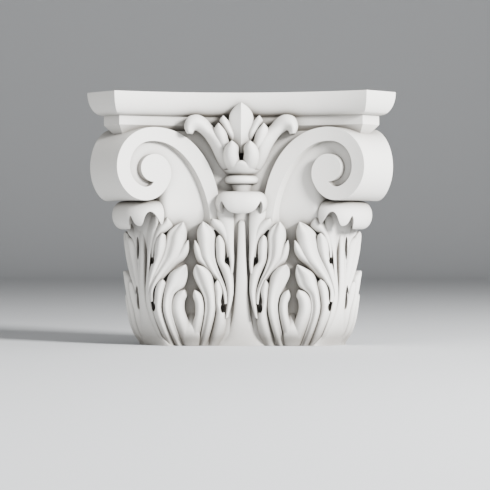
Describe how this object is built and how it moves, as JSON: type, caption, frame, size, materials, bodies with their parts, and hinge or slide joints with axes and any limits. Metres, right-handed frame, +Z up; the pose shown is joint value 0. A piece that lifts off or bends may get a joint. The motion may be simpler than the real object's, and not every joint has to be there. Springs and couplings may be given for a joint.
{
  "type": "corinthian pilaster capital",
  "caption": "Half-relief Corinthian capital for a pilaster: hollow-sided abacus with a flower, corner volutes and acanthus leaves on a bell, flat back and flat top and underside",
  "frame": {"origin": "centre of the bounding box at the underside; the flat back is 37 mm behind it", "axes": "+Z up, +X to the right as seen from the front, the carved front faces -Y and the flat back faces +Y"},
  "size_m": [0.292, 0.074, 0.241],
  "materials": {
    "plaster": "cast gypsum plaster with a matt off-white primer, smooth, slightly darker in the hollows"
  },
  "bodies": {
    "root": {"capital": "plaster"}
  },
  "joints": []
}
